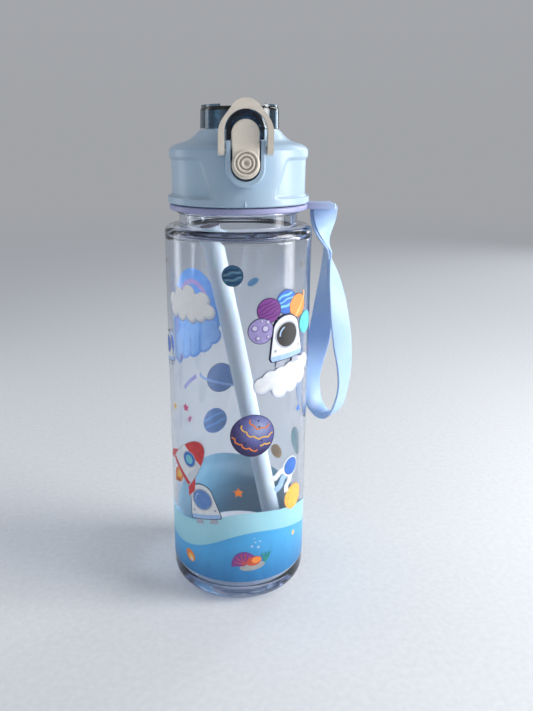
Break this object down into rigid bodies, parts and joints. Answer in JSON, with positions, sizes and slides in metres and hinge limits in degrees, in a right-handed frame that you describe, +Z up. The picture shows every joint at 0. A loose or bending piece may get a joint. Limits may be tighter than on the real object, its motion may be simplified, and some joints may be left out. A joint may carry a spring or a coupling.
{
  "type": "kids water bottle",
  "caption": "Clear straight-sided water bottle with screw lid, tinted flip cover, push button, locking bail, inner straw and a soft side carry loop.",
  "frame": {"origin": "centre of the base on the bottle's axis, on the surface it stands on", "axes": "+Z up along the bottle, -Y towards the button at the front, +X towards the strap's tab"},
  "size_m": [0.095, 0.0721, 0.2427],
  "materials": {
    "clear_body": "clear copolyester, polished",
    "lid_blue": "satin moulded polypropylene",
    "liner_white": "moulded polypropylene",
    "cover_tint": "tinted clear plastic, polished",
    "button_cream": "satin moulded",
    "strap_soft": "soft thermoplastic elastomer",
    "silicone_white": "translucent silicone",
    "straw_white": "frosted polyethylene",
    "steel": "stainless wire and pin"
  },
  "bodies": {
    "bottle": {"bottle_body": "clear_body", "straw": "straw_white"},
    "strap_ring": {"strap_ring": "strap_soft"},
    "strap": {"strap_loop": "strap_soft"},
    "gasket": {"neck_gasket": "silicone_white"},
    "lid": {"cap_liner": "liner_white", "cap_shell": "lid_blue", "tower_seal": "silicone_white", "spout_nozzle": "silicone_white", "straw_connector": "silicone_white", "vent_valve": "silicone_white", "cover_hinge_pin": "steel", "cover_spring": "steel", "button_pivot_pin": "steel", "button_spring": "steel", "bail_pins": "steel"},
    "cover": {"flip_cover": "cover_tint", "cover_seal": "silicone_white"},
    "button": {"release_button": "button_cream"},
    "bail": {"lock_bail": "button_cream"}
  },
  "joints": [
    {"name": "strap_swivel", "type": "hinge", "parent": "bottle", "child": "strap_ring", "pos_m": [0, 0, 0.19715], "axis": [0, 0, 1], "continuous": true},
    {"name": "strap_swing", "type": "hinge", "parent": "strap_ring", "child": "strap", "pos_m": [0.0466, 0, 0.1956], "axis": [0, -1, 0], "range_deg": [0, 150]},
    {"name": "cap_rise", "type": "slide", "parent": "bottle", "child": "gasket", "axis": [0, 0, 1], "range_m": [0, 0.006]},
    {"name": "cap_turn", "type": "hinge", "parent": "gasket", "child": "lid", "pos_m": [0, 0, 0.205], "axis": [0, 0, 1], "range_deg": [0, 540]},
    {"name": "cover_open", "type": "hinge", "parent": "lid", "child": "cover", "pos_m": [0, 0.0145, 0.2315], "axis": [-1, 0, 0], "range_deg": [0, 120], "deforming": ["cover_spring"]},
    {"name": "button_press", "type": "hinge", "parent": "lid", "child": "button", "pos_m": [0, -0.0313, 0.2246], "axis": [1, 0, 0], "range_deg": [0, 8], "stiffness_Nm_per_rad": 0.15, "springref_deg": -2.86, "deforming": ["button_spring"]},
    {"name": "bail_swing", "type": "hinge", "parent": "lid", "child": "bail", "pos_m": [0, -0.0334, 0.2228], "axis": [1, 0, 0], "range_deg": [0, 150]}
  ],
  "couplings": [
    {"joint": "cap_rise", "follows": "cap_turn", "m_per_rad": 0.00063662}
  ]
}
